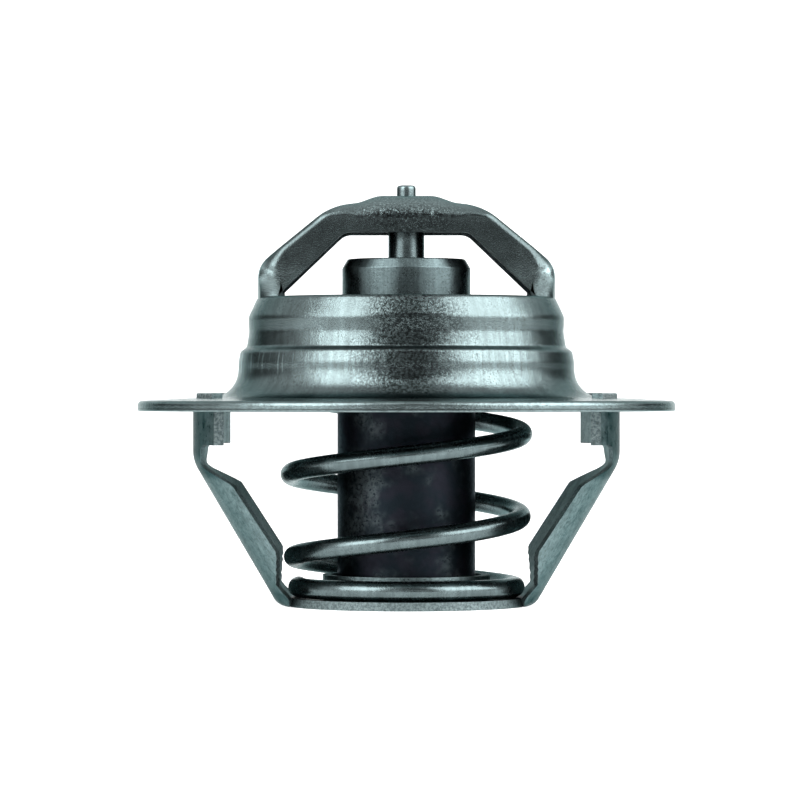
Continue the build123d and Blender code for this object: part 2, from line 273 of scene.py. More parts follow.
def make_piece(name: str, sheets: Sequence[Sheet], body: Body, *nodes: str) -> bpy.types.Object:
    """Build one piece from its surfaces, and put it in place of CAD nodes.

    Args:
        name: the piece's name.
        sheets: its surfaces, which meet along shared points.
        body: the body that it rides on.
        nodes: the CAD nodes that it stands for.

    Returns:
        The new object, with its place in its mesh.
    """
    vertices = np.concatenate([sheet.points.reshape(-1, 3) for sheet in sheets]) * MM
    starts = np.cumsum([0] + [sheet.points[..., 0].size for sheet in sheets])
    grids = [sheet.faces(first) for sheet, first in zip(sheets, starts)]
    quads = np.concatenate(grids)
    finishes = [np.full(len(grid), sheet.finish, np.int32) for sheet, grid in zip(sheets, grids)]
    mesh = bpy.data.meshes.new(name)
    mesh.vertices.add(len(vertices))
    mesh.vertices.foreach_set("co", vertices.astype(np.float32).ravel())
    mesh.loops.add(quads.size)
    mesh.loops.foreach_set("vertex_index", quads.ravel().astype(np.int32))
    mesh.polygons.add(len(quads))
    mesh.polygons.foreach_set("loop_start", np.arange(len(quads), dtype=np.int32) * 4)
    mesh.polygons.foreach_set("material_index", np.concatenate(finishes))
    mesh.update(calc_edges=True)
    shape = bmesh.new()
    shape.from_mesh(mesh)
    bmesh.ops.remove_doubles(shape, verts=shape.verts, dist=MELT_M)
    bmesh.ops.dissolve_degenerate(shape, edges=shape.edges, dist=THIN_M)
    bmesh.ops.recalc_face_normals(shape, faces=shape.faces)
    shape.to_mesh(mesh)
    shape.free()
    mesh.polygons.foreach_set("use_smooth", np.ones(len(mesh.polygons), bool))
    mesh.set_sharp_from_angle(angle=np.radians(SHARP_DEGREES))
    piece = linked(name, mesh)
    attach(piece, body.value)
    if nodes:
        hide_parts(*nodes)
    LOG.info("%s: %d faces, on %s", name, len(mesh.polygons), body.value)
    return piece


def turned_piece(
    name: str, section: Corners, body: Body, node: str, steps: int = ROUND_STEPS
) -> bpy.types.Object:
    """Build a piece with a round section.

    The section's corners become arcs, and the line is carried round the Z axis.

    Args:
        name: the piece's name.
        section: a closed line of corners, each with its radius, height and bend radius.
        body: the body that it rides on.
        node: the CAD node that it stands for.
        steps: the number of points round the axis.

    Returns:
        The new object.
    """
    corners = np.array(section)
    bends = np.maximum(corners[:, 2], LEAST_BEND)
    line = rounded_line(corners[:, :2], bends, closed=True)
    return make_piece(name, [revolve(line, steps)], body, node)


class Bench:
    """A material's node tree under construction, with coordinates in millimetres.

    Where a method takes a value, it is a socket to link or a constant to set.
    """

    def __init__(self, name: str) -> None:
        """Start a material with one Principled surface.

        Args:
            name: the material's name.
        """
        self.material = bpy.data.materials.new(name)
        self.material.use_nodes = True
        self.tree = self.material.node_tree
        self.surface = self.tree.nodes["Principled BSDF"]
        scaled = self.node("ShaderNodeMapping")
        scaled.inputs["Scale"].default_value = (1 / MM, 1 / MM, 1 / MM)
        self.link(self.node("ShaderNodeTexCoord").outputs["Object"], scaled.inputs["Vector"])
        self.place = scaled.outputs["Vector"]
        self.x, self.y, self.z = self.node("ShaderNodeSeparateXYZ", self.place).outputs

    def node(self, kind: str, *values: object) -> bpy.types.Node:
        """Add a node and feed its first inputs.

        Args:
            kind: the node's type.
            values: a value for each of its first inputs.

        Returns:
            The new node.
        """
        node = self.tree.nodes.new(kind)
        for target, value in zip(node.inputs, values):
            self.feed(target, value)
        return node

    def link(self, source: Socket, target: Socket) -> None:
        """Join two sockets."""
        self.tree.links.new(source, target)

    def feed(self, target: Socket, value: object) -> None:
        """Give a socket a link or a constant.

        Args:
            target: the socket.
            value: what it gets.
        """
        if isinstance(value, Socket):
            self.link(value, target)
        else:
            target.default_value = value

    def math(self, operation: str, *values: object) -> Socket:
        """Add a Math node.

        Args:
            operation: what the node does.
            values: its values, in order.

        Returns:
            Its result.
        """
        node = self.node("ShaderNodeMath", *values)
        node.operation = operation
        return node.outputs[0]

    def times(self, *values: object) -> Socket:
        """Multiply values.

        Args:
            values: two or more values.

        Returns:
            Their product.
        """
        product = values[0]
        for value in values[1:]:
            product = self.math("MULTIPLY", product, value)
        return product

    def off(self, value: object, middle: float) -> Socket:
        """Return how far a value lies from a middle one, on either side."""
        return self.math("ABSOLUTE", self.math("SUBTRACT", value, middle))

    def ramp(self, value: object, low: float, high: float, *ends: float) -> Socket:
        """Map low..high smoothly to two ends, and hold them outside.

        Args:
            value: the value to map.
            low: where the first end is reached.
            high: where the second end is reached.
            ends: the two ends, 0 and 1 when left out.

        Returns:
            The mapped value.
        """
        node = self.node("ShaderNodeMapRange", value, low, high, *(ends or (0.0, 1.0)))
        node.interpolation_type = "SMOOTHSTEP"
        return node.outputs[0]

    def radius(self) -> Socket:
        """Return the distance from the Z axis, in millimetres."""
        squares = self.times(self.x, self.x), self.times(self.y, self.y)
        return self.math("SQRT", self.math("ADD", *squares))

    def vector(self, x: object, y: object, z: object) -> Socket:
        """Return three values as one vector."""
        return self.node("ShaderNodeCombineXYZ", x, y, z).outputs[0]

    def around(self, stretch: float) -> Socket:
        """Make a vector that turns with the azimuth and changes slowly with height.

        It is the reach times the direction from the axis, with the height times the stretch.

        Args:
            stretch: the share of the height that counts.

        Returns:
            The vector.
        """
        reach = 16.0
        flat = self.node("ShaderNodeVectorMath", self.vector(self.x, self.y, 0.0))
        flat.operation = "NORMALIZE"
        along, across, _ = self.node("ShaderNodeSeparateXYZ", flat.outputs[0]).outputs
        upward = self.times(self.z, stretch)
        return self.vector(self.times(along, reach), self.times(across, reach), upward)

    def rings(self) -> Socket:
        """Return a vector that is the same all the way round the axis."""
        return self.vector(self.radius(), 0.0, self.z)

    def noise(
        self, scale: float, detail: float = 3.0, rough: float = 0.5, place: Socket = None
    ) -> Socket:
        """Add cloudy noise.

        Args:
            scale: its cycles per millimetre.
            detail: how many finer layers it has.
            rough: how strong the finer layers are.
            place: where it is read, or the piece's own place.

        Returns:
            A value between 0 and 1.
        """
        node = self.node("ShaderNodeTexNoise")
        self.link(place or self.place, node.inputs["Vector"])
        node.inputs["Scale"].default_value = scale
        node.inputs["Detail"].default_value = detail
        node.inputs["Roughness"].default_value = rough
        return node.outputs[0]

    def mix(self, share: object, first: object, second: object) -> Socket:
        """Mix two colours.

        Args:
            share: how much of the second there is.
            first: the first colour.
            second: the second colour.

        Returns:
            The mixed colour.
        """
        node = self.tree.nodes.new("ShaderNodeMix")
        node.data_type = "RGBA"
        for number, value in ((0, share), (6, first), (7, second)):
            self.feed(node.inputs[number], value)
        return node.outputs[2]

    def bump(self, height: Socket, depth_mm: float, under: Socket = None) -> Socket:
        """Add a relief to the surface's normal.

        Args:
            height: the relief's height, between 0 and 1.
            depth_mm: how deep that is.
            under: the normal of a relief under this one.

        Returns:
            The new normal.
        """
        node = self.node("ShaderNodeBump")
        node.inputs["Strength"].default_value = 1.0
        node.inputs["Distance"].default_value = depth_mm * MM
        self.link(height, node.inputs["Height"])
        if under is not None:
            self.link(under, node.inputs["Normal"])
        return node.outputs[0]

    def coat(
        self, colour: Socket, rough: Socket, relief: Socket, metal: float = 0.0, tint: object = None
    ) -> bpy.types.Material:
        """Give the surface its values.

        Args:
            colour: its colour.
            rough: its roughness.
            relief: its normal.
            metal: how metallic it is.
            tint: its colour at a grazing angle.

        Returns:
            The finished material.
        """
        inputs = self.surface.inputs
        self.link(colour, inputs["Base Color"])
        self.link(rough, inputs["Roughness"])
        self.link(relief, inputs["Normal"])
        inputs["Metallic"].default_value = metal
        if tint is not None:
            inputs["Specular Tint"].default_value = tint
        return self.material


@dataclass(frozen=True)
class Steel:
    """A steel finish: its colour, uneven gloss, fine grain, and draw streaks and rings.

    Depths are in millimetres. The spread is how far patches leave the colour, the stain is how
    dark the specks in it are, and the edge is how bright it is at a grazing angle.
    """

    name: str
    colour: tuple[float, float, float]
    gloss: Span = (0.15, 0.24)
    spread: float = 0.2
    stain: float = 0.5
    streak_depth: float = 0.003
    ring_depth: float = 0.004
    grain_depth: float = 0.022
    grain_scale: float = 9.0
    patch_scale: float = 0.55
    edge: float = 0.6

    def shade(self, factor: float) -> Colour:
        """Return the colour made lighter or darker by a factor."""
        red, green, blue = (min(channel * factor, 1.0) for channel in self.colour)
        return red, green, blue, 1.0

    def material(self) -> bpy.types.Material:
        """Build the finish's node tree.

        Returns:
            The finished material.
        """
        bench = Bench(self.name)
        patches = bench.noise(self.patch_scale, 5.0, 0.62)
        specks = bench.noise(5.5, 3.0, 0.7)
        streaks = bench.noise(1.5, 4.0, 0.65, bench.around(0.10))
        rings = bench.noise(4.5, 4.0, 0.7, bench.rings())
        grain = bench.noise(self.grain_scale, 3.0, 0.55)
        lean = bench.math("MULTIPLY_ADD", streaks, 0.4, bench.times(patches, 0.6))
        darker, lighter = self.shade(1 - self.spread), self.shade(1 + self.spread)
        colour = bench.mix(bench.ramp(lean, 0.36, 0.64), darker, lighter)
        stained = bench.times(bench.ramp(specks, 0.50, 0.64), bench.ramp(patches, 0.42, 0.6))
        colour = bench.mix(bench.times(stained, self.stain), colour, self.shade(0.25))
        colour = self.wear_and_painted_light(bench, colour, specks)
        rough = bench.math("MULTIPLY_ADD", specks, 0.35, bench.times(patches, 0.65))
        rough = bench.ramp(rough, 0.35, 0.66, *self.gloss)
        relief = bench.bump(streaks, self.streak_depth)
        relief = bench.bump(rings, self.ring_depth, relief)
        relief = bench.bump(grain, self.grain_depth, relief)
        tint = (0.84 * self.edge, self.edge, self.edge, 1)
        return bench.coat(colour, rough, relief, 1.0, tint)

    def wear_and_painted_light(self, bench: Bench, colour: Socket, specks: Socket) -> Socket:
        """Return the colour with this finish's own wear and painted light, which is none."""
        return colour


@dataclass(frozen=True)
class ShearedSteel(Steel):
    """The stamping's steel: pits in the dome, a sheared rim, and painted shade, glints and
    highlights on the dome and the bridge.

    Each span holds the two ends, in millimetres, between which a kind of wear or painted light
    comes
    or goes: in x for the pits' middle and the scored side, in radius or in height for the others.
    """

    middle: Span = (4.8, 9.8)
    pits_and_painted_light_radius: Span = (16.5, 18.0)
    mouth: Span = (11.0, 12.5)
    scored_side: Span = (-13.5, -9.5)
    scored_height: float = 4.4
    painted_shade_foot: Span = (12.6, 14.2)
    painted_shade_top: Span = (17.2, 18.6)
    crown: Span = (18.2, 19.4)
    knee_foot: Span = (11.6, 12.8)
    knee_top: Span = (14.2, 15.4)
    knee_radius: Span = (13.3, 14.2)
    rim_radius: Span = (24.7, 24.95)
    torn_height: float = 0.24
    crease_radius: Span = (14.2, 14.6)
    crease_height: float = 5.68

    def wear_and_painted_light(self, bench: Bench, colour: Socket, specks: Socket) -> Socket:
        """Add the wear of the dome, the bridge and the rim, with their painted shade, glints and
        highlights.

        Args:
            bench: the node tree.
            colour: the steel's colour so far.
            specks: the fine specks that the finish shares.

        Returns:
            The colour with its wear and painted light.
        """
        colour = self.pits_and_painted_light(bench, colour, specks)
        colour = self.scored(bench, colour)
        return self.edged(bench, self.painted_bridge_light(bench, colour))

    def pits_and_painted_light(self, bench: Bench, colour: Socket, specks: Socket) -> Socket:
        """Darken the dome where x is near zero as painted shade, pit it there, and fleck it with
        painted glints.

        The pits, the painted shade and the glints lie between ragged sides: the distance from x
        zero, plus slow noise.

        Args:
            bench: the node tree.
            colour: the steel's colour so far.
            specks: the fine specks that the finish shares.

        Returns:
            The worn colour.
        """
        sides = bench.math("ABSOLUTE", bench.x)
        ragged = bench.math("MULTIPLY_ADD", bench.noise(0.35, 4.0, 0.6), 7.0, sides)
        within = bench.ramp(bench.radius(), *self.pits_and_painted_light_radius, 1.0, 0.15)
        pits_and_painted_light_zone = bench.times(bench.ramp(ragged, *self.middle, 1.0, 0.12), within)
        # painted shade: the dome's middle is darkened, standing in for the dark reflection there
        painted_shade = bench.times(pits_and_painted_light_zone, bench.ramp(bench.z, *self.mouth, 0.6, 0.0))
        colour = bench.mix(painted_shade, colour, self.shade(0.4))
        pits = bench.times(bench.ramp(bench.noise(4.4, 4.0, 0.68), 0.44, 0.55), pits_and_painted_light_zone)
        colour = bench.mix(bench.times(pits, 0.9), colour, self.shade(0.1))
        # painted glints: bright flecks among the pits
        flecks = bench.times(bench.ramp(specks, 0.42, 0.36), pits_and_painted_light_zone)
        flecks = bench.times(flecks, bench.ramp(bench.z, *self.mouth, 0.2, 0.9))
        return bench.mix(flecks, colour, self.shade(2.4))

    def scored(self, bench: Bench, colour: Socket) -> Socket:
        """Score the skirt's left side with pale upright lines.

        Args:
            bench: the node tree.
            colour: the steel's colour so far.

        Returns:
            The colour with its scoring.
        """
        side = bench.ramp(bench.x, *self.scored_side, 1.0, 0.1)
        band = bench.ramp(bench.off(bench.z, self.scored_height), 0.7, 1.1, 1.0, 0.0)
        lines = bench.ramp(bench.noise(2.6, 2.0, 0.5, bench.around(0.05)), 0.52, 0.66)
        return bench.mix(bench.times(side, band, lines, 0.8), colour, self.shade(3.0))

    def painted_bridge_light(self, bench: Bench, colour: Socket) -> Socket:
        """Paint shade on the bridge's slopes, paint light on its crown and paint highlights on its
        knees.

        Args:
            bench: the node tree.
            The colour with painted shade, painted light and painted highlights.

        Returns:
            The worn colour.
        """
        # painted shade: the slopes are darkened between these heights
        slopes = bench.ramp(bench.z, *self.painted_shade_foot, 0.0, 0.6)
        slopes = bench.times(slopes, bench.ramp(bench.z, *self.painted_shade_top, 1.0, 0.0))
        colour = bench.mix(slopes, colour, self.shade(0.3))
        # painted light: the crown is lightened
        colour = bench.mix(bench.ramp(bench.z, *self.crown, 0.0, 0.5), colour, self.shade(1.9))
        # painted highlights: bright patches on the knees' outer edges
        knees = bench.ramp(bench.z, *self.knee_foot)
        knees = bench.times(knees, bench.ramp(bench.z, *self.knee_top, 0.9, 0.0))
        knees = bench.times(knees, bench.ramp(bench.radius(), *self.knee_radius))
        return bench.mix(knees, colour, self.shade(4.0))

    def edged(self, bench: Bench, colour: Socket) -> Socket:
        """Burnish the rim in chips, tear a dark line along it, and paint shade in the dome's
        crease.

        Args:
            bench: the node tree.
            colour: the steel's colour so far.

        Returns:
            The worn colour.
        """
        edge = bench.ramp(bench.radius(), *self.rim_radius)
        torn = bench.ramp(bench.off(bench.z, self.torn_height), 0.03, 0.09, 1.0, 0.0)
        chipped = bench.ramp(bench.noise(1.6, 4.0, 0.7), 0.40, 0.58, 0.0, 0.6)
        colour = bench.mix(bench.times(edge, chipped), colour, self.shade(1.35))
        colour = bench.mix(bench.times(edge, torn, 0.8), colour, self.shade(0.35))
        # painted shade: a dark line in the dome's crease
        crease = bench.ramp(bench.off(bench.z, self.crease_height), 0.03, 0.14, 0.6, 0.0)
        dome = bench.ramp(bench.radius(), *self.crease_radius)
        return bench.mix(bench.times(crease, dome, 0.75), colour, self.shade(0.35))


@dataclass(frozen=True)
class ZincSteel(Steel):
    """Zinc-plated strip steel, mottled, with painted light along the arms.

    The spans are the heights between which the painted light comes and goes, and the fold is the
    height where the arms bend and shade is painted, in millimetres.
    """

    painted_light_top: Span = (-7.0, -4.5)
    painted_light_foot: Span = (-17.0, -15.8)
    fold: float = -5.6

    def wear_and_painted_light(self, bench: Bench, colour: Socket, specks: Socket) -> Socket:
        """Paint light on the arms below their necks, in the zinc's cloudy, grainy mottle, and paint
        shade in the fold.

        Args:
            bench: the node tree.
            colour: the steel's colour so far.
            specks: the fine specks that the finish shares.

        Returns:
            The colour with its mottle, painted light and painted shade.
        """
        # painted light: the arms are lightened between these heights, carrying the zinc's own
        # mottle
        painted_light_band = bench.ramp(bench.z, *self.painted_light_top, 1.0, 0.0)
        painted_light_band = bench.times(painted_light_band, bench.ramp(bench.z, *self.painted_light_foot))
        clouds = bench.noise(0.9, 6.0, 0.72, bench.around(0.7))
        clouds = bench.math("MULTIPLY_ADD", specks, 0.3, clouds)
        pale = bench.mix(bench.ramp(clouds, 0.42, 0.88), self.shade(1.3), self.shade(2.4))
        grainy = bench.ramp(bench.noise(2.6, 4.0, 0.7), 0.44, 0.66, 0.0, 0.75)
        pale = bench.mix(grainy, pale, self.shade(0.75))
        colour = bench.mix(bench.times(painted_light_band, 0.85), colour, pale)
        # painted shade: a dark band along the fold
        fold = bench.ramp(bench.off(bench.z, self.fold), 0.1, 0.9, 0.7, 0.0)
        return bench.mix(fold, colour, self.shade(0.45))


@dataclass(frozen=True)
class Blackened:
    """A dark plated steel finish with a cloudy bloom, pits in it and a warm tinge.

    The bloom is thicker on the side where x is negative, above the lower coils, as a painted
    highlight. The spans hold its ends in x and in height, in millimetres.
    """

    name: str
    dark: Colour = (0.008, 0.012, 0.016, 1)
    warm: Colour = (0.0125, 0.0135, 0.019, 1)
    bloom: Colour = (0.062, 0.078, 0.082, 1)
    tint: Colour = (0.33, 0.39, 0.41, 1)
    bloom_highlight_side: Span = (-4.2, -0.6)
    bloom_highlight_foot: Span = (-12.5, -8.0)
    bloom_highlight_top: Span = (-5.0, -2.0)

    def material(self) -> bpy.types.Material:
        """Build the finish's node tree.

        Returns:
            The finished material.
        """
        bench = Bench(self.name)
        flecks = bench.noise(2.4, 5.0, 0.72)
        band = bench.ramp(bench.z, *self.bloom_highlight_foot)
        band = bench.times(band, bench.ramp(bench.z, *self.bloom_highlight_top, 1.0, 0.4))
        # painted highlight: the bloom is thickened on the lit side
        painted_highlight_bloom = bench.times(bench.ramp(bench.x, *self.bloom_highlight_side, 0.22, 0.0), band)
        clouds = bench.math("ADD", bench.noise(0.3, 3.0, 0.55), painted_highlight_bloom)
        misted = bench.ramp(flecks, 0.36, 0.58, 0.3, 1.0)
        misted = bench.times(bench.ramp(clouds, 0.48, 0.74), misted)
        colour = bench.mix(bench.ramp(bench.noise(0.5), 0.42, 0.62), self.dark, self.warm)
        colour = bench.mix(bench.times(misted, 0.8), colour, self.bloom)
        pits = bench.ramp(bench.noise(3.2, 2.0, 0.6), 0.56, 0.62)
        pits = bench.times(pits, bench.ramp(clouds, 0.5, 0.62))
        colour = bench.mix(pits, colour, self.dark)
        rough = bench.ramp(flecks, 0.3, 0.7, 0.3, 0.5)
        return bench.coat(colour, rough, bench.bump(flecks, 0.03), 0.9, self.tint)


@dataclass(frozen=True)
class TornSteel:
    """The sheared edge of a sheet: rough and pale, with torn dark flecks."""

    name: str
    dark: Colour
    pale: Colour
    tint: Colour = (0.42, 0.52, 0.53, 1)

    def material(self) -> bpy.types.Material:
        """Build the finish's node tree.

        Returns:
            The finished material.
        """
        bench = Bench(self.name)
        torn = bench.noise(4.6, 5.0, 0.7)
        colour = bench.mix(bench.ramp(torn, 0.38, 0.62), self.dark, self.pale)
        rough = bench.ramp(torn, 0.3, 0.7, 0.62, 0.45)
        return bench.coat(colour, rough, bench.bump(torn, 0.025), 1.0, self.tint)


@dataclass(frozen=True)
class Rubber:
    """A matt black rubber finish with a fine moulded grain."""

    name: str
    colour: Colour = (0.012, 0.012, 0.013, 1)

    def material(self) -> bpy.types.Material:
        """Build the finish's node tree.

        Returns:
            The finished material.
        """
        bench = Bench(self.name)
        cloudy = bench.noise(1.5, 4.0)
        lighter = tuple(channel * 2.2 for channel in self.colour[:3]) + (1.0,)
        bench.surface.inputs["Specular IOR Level"].default_value = 0.2
        rough = bench.ramp(cloudy, 0.3, 0.7, 0.6, 0.8)
        relief = bench.bump(bench.noise(9.0), 0.01)
        return bench.coat(bench.mix(cloudy, self.colour, lighter), rough, relief)


@dataclass(frozen=True)
class Filled:
    """A cast or moulded filling, with specks of a second colour."""

    name: str
    colour: Colour
    speck: Colour

    def material(self) -> bpy.types.Material:
        """Build the finish's node tree.

        Returns:
            The finished material.
        """
        bench = Bench(self.name)
        specks = bench.ramp(bench.noise(5.0, 5.0, 0.7), 0.5, 0.62)
        colour = bench.mix(specks, self.colour, self.speck)
        rough = bench.ramp(specks, 0.0, 1.0, 0.6, 0.4)
        return bench.coat(colour, rough, bench.bump(specks, 0.02))


def dress(piece: bpy.types.Object, slot: str, *finishes: object) -> None:
    """Give a piece its finishes.

    Args:
        piece: the piece.
        slot: the record's slot that it stands for, or nothing for a CAD node's own; it is not used.
        finishes: its finishes, in the order that its sheets number them.
    """
    for _ in range(len(finishes) - len(piece.data.materials)):
        piece.data.materials.append(None)
    for number, finish in enumerate(finishes):
        piece.data.materials[number] = finish.material()


@dataclass
class Stamping:
    """The dome, its flange and the bridge, one stamping.

    Lines are corners of (radius, height) or (x, z), from the dome's mouth outwards and from a
    leg's root up. The bridge's edges are (length along the outer line, edge radius).
    """

    sheet: float = 1.2
    dome: Corners = (
        (11.9, 10.57), (13.85, 10.57), (14.72, 8.7), (14.64, 7.3), (14.86, 5.95), (15.46, 5.52),
        (15.64, 4.5), (15.62, 1.2), (20.2, 1.2),
    )
    dome_bends: tuple[float, ...] = (0.5, 1.2, 2.0, 0.35, 0.5, 2.0, 2.7)
    dome_steps: int = 320
    rim: float = 25.0
    rim_thickness: float = 0.95
    rim_bends: Span = (0.42, 0.1)
    bridge_half: float = 4.5
    bridge_edges: Corners = (
        (0.0, 1.7), (3.9, 1.8), (6.2, 0.7), (11.5, 0.7), (14.5, 1.7), (17.0, 2.5),
    )
    bridge_line: Corners = (
        (13.85, 9.7), (13.85, 13.38), (6.99, 18.95), (4.44, 19.28), (2.66, 19.95),
    )
    bridge_bends: tuple[float, ...] = (2.8, 6.0, 2.5, 3.0)
    under_line: Corners = ((11.95, 9.7), (11.95, 10.57), (5.74, 16.5))
    under_bends: Span = (0.6, 1.5)
    least_edge: float = 0.3
    wall_steps: int = 7
    edge_points: int = 13
    top_steps: int = 8
    root_radius: float = 14.2
    root_height: float = 10.8
    knee_height: float = 13.6

    def dome_sheet(self) -> Sheet:
        """Revolve the dome's section: its outer line, the coined rim, and the line beside it.

        Returns:
            The closed surface.
        """
        line = np.array(self.dome)
        outer = rounded_line(line, self.dome_bends, run_points=4)
        bends = inner_bends(line, self.dome_bends, self.sheet)
        inner = rounded_line(beside(line, self.sheet), bends, arc_points=8, run_points=3)
        rim = [outer[-1], (self.rim, self.rim_thickness), (self.rim, 0.0), inner[-1]]
        rim = rounded_line(np.array(rim), self.rim_bends, run_points=5)
        return revolve(np.vstack([outer, rim[1:-1], inner[::-1]]), self.dome_steps)

    def bridge_sheets(self) -> list[Sheet]:
        """Carry a channel section along the bridge.

        The outer line is rounded at its bends. At each of its points the section starts at the
        lower edge, goes up the outer side, over the rounded edge with its centre one edge radius
        inside, across the top, and back the same way one sheet further in. The edge radius
        changes along the line.

        Returns:
            Both skins, the two cut edges and the two ends.
        """
        bends = self.bridge_bends + self.bridge_bends[::-1]
        outer = rounded_line(mirrored(self.bridge_line), bends, arc_points=14, run_points=10)
        low = self.lower_line(outer)
        along = lengths_along(outer)
        places, radii = np.array(self.bridge_edges).T
        edge = np.interp(np.minimum(along, along[-1] - along), places, radii)[:, None]
        within = np.maximum(edge - self.sheet, self.least_edge)
        outside = self.skin(outer, low, edge, 0.0)
        inside = self.skin(outer, low, within, self.sheet)
        skins = np.stack(outside + inside[::-1], axis=1)
        return [
            Sheet(np.stack(outside, axis=1)),
            Sheet(np.stack(inside, axis=1)),
            strip(outside[0], inside[0], 1),
            strip(outside[-1], inside[-1], 1),
            fan(skins[0]),
            fan(skins[-1]),
        ]

    def skin(
        self, outer: np.ndarray, low: np.ndarray, edge: np.ndarray, depth: float
    ) -> list[np.ndarray]:
        """Return the columns of one skin of the channel, from its front lower edge to its back.

        Args:
            outer: the bridge's outer line, as (x, z) rows.
            low: the lower edge's line.
            edge: the skin's edge radius at each row.
            depth: how far it lies inside the outer line and the sides.

        Returns:
            Rows of points (x, y, z) for each column of the section.
        """
        step = units(np.gradient(outer, axis=0))
        out = np.stack([step[:, 1], -step[:, 0]], axis=1)
        half = self.bridge_half - depth
        top = outer - out * (edge + depth)
        rise = np.linspace(0, 1, self.wall_steps + 1)[:-1]
        turn = np.linspace(0, np.pi / 2, self.edge_points)
        reach = np.linspace(1, 0, self.top_steps + 1)[1:]
        narrow = edge[:, 0]
        columns = [(np.full(len(outer), half), low + (top - low) * part) for part in rise]
        for angle in turn:
            sunk = depth + edge * (1 - np.sin(angle))
            columns.append((half - narrow * (1 - np.cos(angle)), outer - out * sunk))
        columns += [((half - narrow) * part, outer - out * depth) for part in reach]
        front = [np.stack([line[:, 0], -y, line[:, 1]], axis=1) for y, line in columns]
        shares = np.concatenate([rise, np.ones(len(turn) + len(reach))])
        for column, share in zip(front, shares):
            column[:, 0] -= np.sign(column[:, 0]) * share * self.hollow(column)
        return front + [column * (1, -1, 1) for column in front[-2::-1]]

    def hollow(self, column: np.ndarray) -> np.ndarray:
        """Find how far a leg's points move in to lie on the dome's circle.

        That is the circle's radius less the root of its square less y squared. It fades smoothly
        from the leg's root to its knee.

        Args:
            column: points (x, y, z) up one column of a skin.

        Returns:
            One distance for each point.
        """
        reach = self.knee_height - self.root_height
        rise = np.clip((column[:, 2] - self.root_height) / reach, 0, 1)
        fade = 1 - rise * rise * (3 - 2 * rise)
        return fade * (self.root_radius - np.sqrt(self.root_radius**2 - column[:, 1] ** 2))

    def lower_line(self, outer: np.ndarray) -> np.ndarray:
        """Work out the bridge's lower edge, one point for each point of its outer line.

        Both lines are split at a leg's root, its knee, the slope's end and the middle, and
        points match by their share of the way between.

        Args:
            outer: the outer line, as (x, z) rows.

        Returns:
            The lower edge, as (x, z) rows.
        """
        bends = self.under_bends + self.under_bends[::-1]
        lower = rounded_line(mirrored(self.under_line), bends, arc_points=14, run_points=20)
        along, lower_along = lengths_along(outer), lengths_along(lower)
        keys = self.key_lengths(self.bridge_line, along[-1])
        place = np.interp(along, keys, self.key_lengths(self.under_line, lower_along[-1]))
        return np.stack([np.interp(place, lower_along, part) for part in lower.T], axis=1)

    def key_lengths(self, half: Corners, total: float) -> np.ndarray:
        """Return how far along a mirrored line its roots, knees, slopes' ends and middle lie."""
        knee, slope = lengths_along(np.array(half))[1:3]
        return np.array([0, knee, slope, total / 2, total - slope, total - knee, total])

    def build(self) -> None:
        """Make the stamping and give it its finish."""
        sheets = [self.dome_sheet(), *self.bridge_sheets()]
        piece = make_piece("stamping", sheets, Body.HOUSING, "flange_housing")
        steel = ShearedSteel("stamping_steel", (0.125, 0.162, 0.165), stain=0.6)
        # painted shade: the bridge's lower cut edges are darker than the steel, for the shade under
        # the bridge
        cut = TornSteel("bridge_cut_painted_shade", (0.027, 0.036, 0.037, 1), (0.075, 0.096, 0.099, 1))
        dress(piece, "flange_steel", steel, cut)


